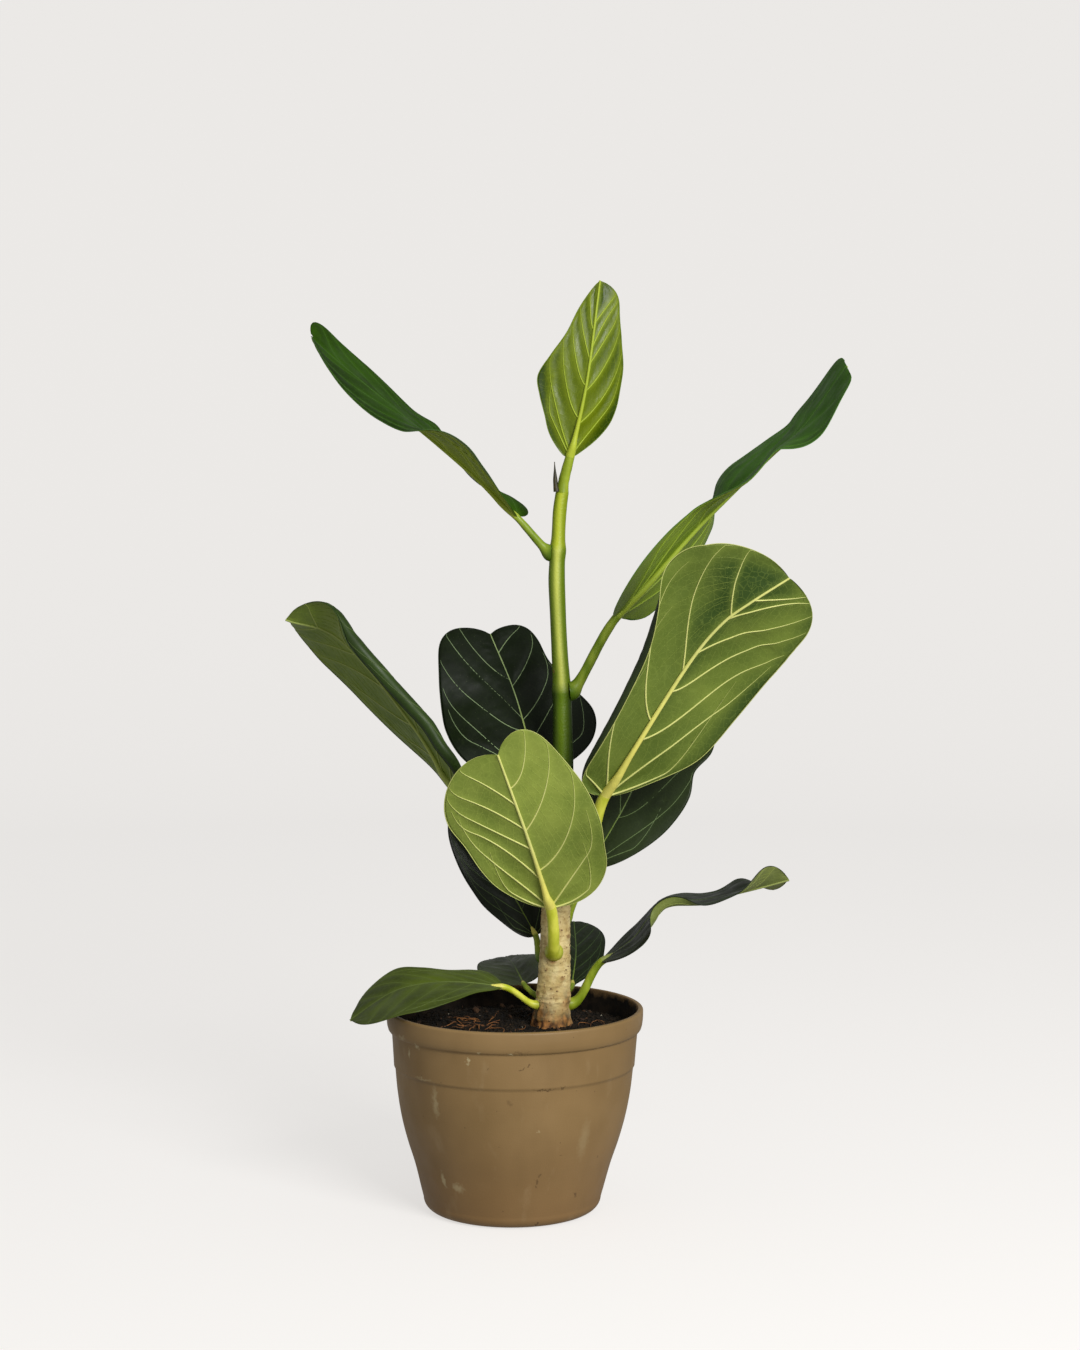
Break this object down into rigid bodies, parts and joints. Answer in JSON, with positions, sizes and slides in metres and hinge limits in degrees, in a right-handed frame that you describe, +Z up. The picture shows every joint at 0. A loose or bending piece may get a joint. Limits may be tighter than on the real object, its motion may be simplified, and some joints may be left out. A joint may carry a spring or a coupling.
{
  "type": "potted audrey ficus",
  "caption": "Young audrey ficus with oval leaves on one slender trunk, standing in a round tapered plastic nursery pot.",
  "frame": {"origin": "centre of the pot's flat underside, on the surface that it stands on", "axes": "+Z up, +X to the right and +Y to the back as seen from the front"},
  "size_m": [0.3782, 0.1796, 0.6261],
  "materials": {
    "pot_plastic": "satin",
    "potting_mix": "matte",
    "bark": "matte",
    "bud_sheath": "matte",
    "green_stalk": "satin",
    "leaf": "satin",
    "young_leaf": "satin"
  },
  "bodies": {
    "root": {"pot": "pot_plastic", "soil": "potting_mix", "trunk": "bark", "bud_sheath": "bud_sheath", "petiole_top": "green_stalk", "leaf_top": "young_leaf", "petiole_upper_left": "green_stalk", "leaf_upper_left": "leaf", "petiole_upper_right": "green_stalk", "leaf_upper_right": "leaf", "petiole_left": "green_stalk", "leaf_left": "leaf", "petiole_back": "green_stalk", "leaf_back": "leaf", "petiole_right_big": "green_stalk", "leaf_right_big": "leaf", "petiole_lower_right": "green_stalk", "leaf_lower_right": "leaf", "petiole_front": "green_stalk", "leaf_front": "leaf", "petiole_lower_left": "green_stalk", "leaf_lower_left": "leaf", "petiole_behind_right": "green_stalk", "leaf_behind_right": "leaf", "petiole_low_left": "green_stalk", "leaf_low_left": "leaf", "petiole_low_back_left": "green_stalk", "leaf_low_back_left": "leaf", "petiole_low_right": "green_stalk", "leaf_low_right": "leaf"}
  },
  "joints": []
}
